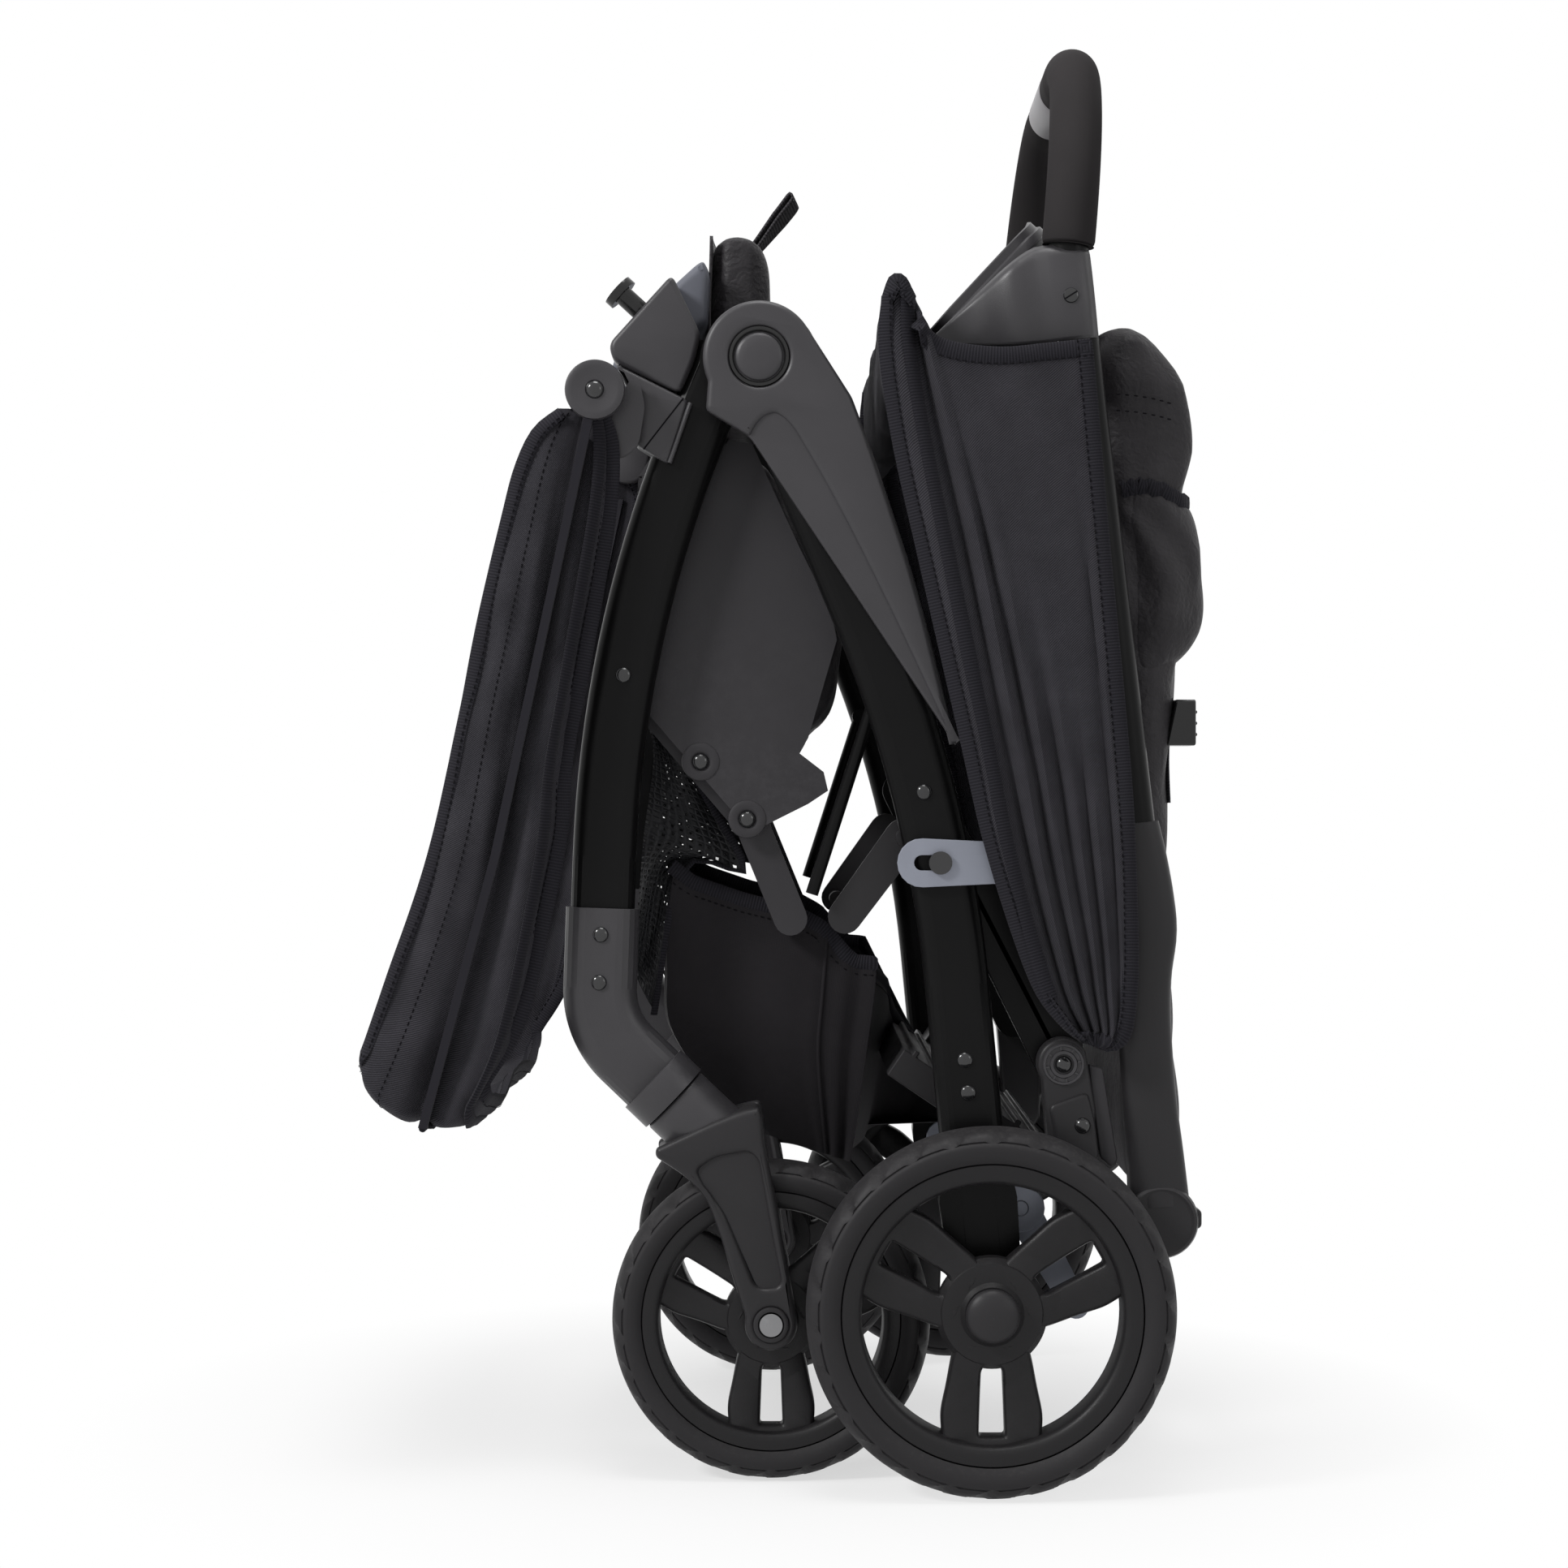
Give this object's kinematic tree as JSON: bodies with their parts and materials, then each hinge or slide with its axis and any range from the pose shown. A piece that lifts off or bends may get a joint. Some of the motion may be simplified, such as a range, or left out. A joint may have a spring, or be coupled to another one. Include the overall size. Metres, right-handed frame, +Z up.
{
  "type": "tandem stroller",
  "caption": "Tandem stroller folded flat and standing on its wheels, with leg frames on a side hinge, swivel front casters, two canopies, a basket and an arched push handle.",
  "frame": {"origin": "middle of the folded stroller's footprint, on the floor", "axes": "+X to the rear, +Y to the child's right, +Z up"},
  "size_m": [0.59, 0.556, 1.0312],
  "materials": {
    "tube": "satin black",
    "moulding": "fine grain, dark grey",
    "steel": "satin",
    "pale_metal": "satin pale grey",
    "tyre": "moulded foam rubber",
    "foam": "closed-cell foam",
    "pale_plastic": "satin, light blue-grey",
    "weave": "woven polyester, black",
    "nylon": "light nylon, slight sheen",
    "basket_cloth": "woven polyester, black",
    "mesh": "open knitted mesh"
  },
  "bodies": {
    "rear_axle": {"rear_axle": "steel"},
    "rear_frame": {"rear_leg_left": "tube", "rear_leg_right": "tube", "hinge_cover_left": "moulding", "hinge_cover_right": "moulding", "hinge_caps": "moulding", "rear_pins": "steel", "axle_brackets": "moulding", "brake_drums": "moulding", "brake_plates": "pale_metal", "standing_platform": "moulding", "basket_rods": "tube", "basket_brackets": "moulding", "basket": "basket_cloth"},
    "front_frame": {"front_leg_left": "tube", "front_leg_right": "tube", "elbow_left": "moulding", "elbow_right": "moulding", "front_cross_tube": "tube", "tray_bracket_left": "moulding", "tray_bracket_right": "moulding", "tray_posts": "moulding", "belly_tray": "pale_plastic", "strap_pad": "weave", "fold_strap": "weave", "canopy_mounts": "moulding", "front_pins": "steel", "basket_mesh": "mesh"},
    "swing_links": {"swing_link_left": "tube", "swing_link_right": "tube"},
    "handle": {"handle_bracket_left": "moulding", "handle_bracket_right": "moulding", "handle_tube": "tube", "grip_left": "foam", "grip_right": "foam", "grip_centre": "pale_plastic", "parent_tray": "moulding", "rear_canopy": "weave", "rear_pouch": "nylon", "pouch_buckle": "moulding"},
    "seat": {"seat_frame": "moulding", "seat_sling": "weave"},
    "caster_left": {"fork_left": "moulding", "fork_bolts_left": "steel"},
    "caster_right": {"fork_right": "moulding", "fork_bolts_right": "steel"},
    "front_wheel_left": {"front_tyre_left": "tyre", "front_rim_left": "moulding"},
    "front_wheel_right": {"front_tyre_right": "tyre", "front_rim_right": "moulding"},
    "rear_wheel_left": {"rear_tyre_left": "tyre", "rear_rim_left": "moulding", "rear_hub_caps_left": "moulding"},
    "rear_wheel_right": {"rear_tyre_right": "tyre", "rear_rim_right": "moulding", "rear_hub_caps_right": "moulding"},
    "front_canopy": {"front_canopy": "weave"},
    "front_canopy_bow": {"front_canopy_bow": "tube"},
    "brake_pedal": {"brake_pedal": "moulding"},
    "storage_link": {"storage_link": "pale_metal"}
  },
  "joints": [
    {"name": "fold", "type": "hinge", "parent": "rear_frame", "child": "front_frame", "pos_m": [-0.01725, 0, 0.784], "axis": [0, 1, 0], "range_deg": [0, 80.2]},
    {"name": "axle_hinge", "type": "hinge", "parent": "rear_axle", "child": "rear_frame", "pos_m": [0.1419, 0, 0.127], "axis": [0, 1, 0], "range_deg": [-34.01, 0]},
    {"name": "swing_hinge", "type": "hinge", "parent": "rear_frame", "child": "swing_links", "pos_m": [0.09724, 0, 0.48294], "axis": [0, 1, 0], "range_deg": [-117.81, 0]},
    {"name": "handle_hinge", "type": "hinge", "parent": "swing_links", "child": "handle", "pos_m": [0.19396, 0, 0.294], "axis": [0, 1, 0], "range_deg": [0, 190.01]},
    {"name": "seat_hinge", "type": "hinge", "parent": "front_frame", "child": "seat", "pos_m": [-0.11268, 0, 0.56503], "axis": [0, 1, 0], "range_deg": [-93.21, 0]},
    {"name": "caster_swivel_left", "type": "hinge", "parent": "front_frame", "child": "caster_left", "pos_m": [-0.07803, -0.191, 0.26686], "axis": [-0.7218, 0, 0.6921], "range_deg": [-10, 10]},
    {"name": "front_wheel_spin_left", "type": "hinge", "parent": "caster_left", "child": "front_wheel_left", "pos_m": [-0.00902, -0.191, 0.112], "axis": [0, 1, 0], "continuous": true},
    {"name": "rear_wheel_spin_left", "type": "hinge", "parent": "rear_axle", "child": "rear_wheel_left", "pos_m": [0.1419, -0.252, 0.127], "axis": [0, 1, 0], "continuous": true},
    {"name": "caster_swivel_right", "type": "hinge", "parent": "front_frame", "child": "caster_right", "pos_m": [-0.07803, 0.191, 0.26686], "axis": [-0.7218, 0, 0.6921], "range_deg": [-10, 10]},
    {"name": "front_wheel_spin_right", "type": "hinge", "parent": "caster_right", "child": "front_wheel_right", "pos_m": [-0.00902, 0.191, 0.112], "axis": [0, 1, 0], "continuous": true},
    {"name": "rear_wheel_spin_right", "type": "hinge", "parent": "rear_axle", "child": "rear_wheel_right", "pos_m": [0.1419, 0.252, 0.127], "axis": [0, 1, 0], "continuous": true},
    {"name": "front_canopy_swing", "type": "hinge", "parent": "front_frame", "child": "front_canopy", "pos_m": [-0.13093, 0, 0.76126], "axis": [0, 1, 0], "range_deg": [0, 110]},
    {"name": "front_canopy_open", "type": "hinge", "parent": "front_canopy", "child": "front_canopy_bow", "pos_m": [-0.13093, 0, 0.76126], "axis": [0, 1, 0], "range_deg": [0, 70]},
    {"name": "brake_press", "type": "hinge", "parent": "rear_frame", "child": "brake_pedal", "pos_m": [0.16621, 0, 0.19051], "axis": [0, 1, 0], "range_deg": [0, 12]},
    {"name": "storage_link_lift", "type": "hinge", "parent": "rear_frame", "child": "storage_link", "pos_m": [0.10819, -0.232, 0.43394], "axis": [0, 1, 0], "range_deg": [-40, 0]}
  ],
  "couplings": [
    {"joint": "axle_hinge", "follows": "fold", "ratio": -0.42394},
    {"joint": "swing_hinge", "follows": "fold", "ratio": -1.4688},
    {"joint": "handle_hinge", "follows": "fold", "ratio": 2.3691},
    {"joint": "seat_hinge", "follows": "fold", "ratio": -1.1621}
  ]
}
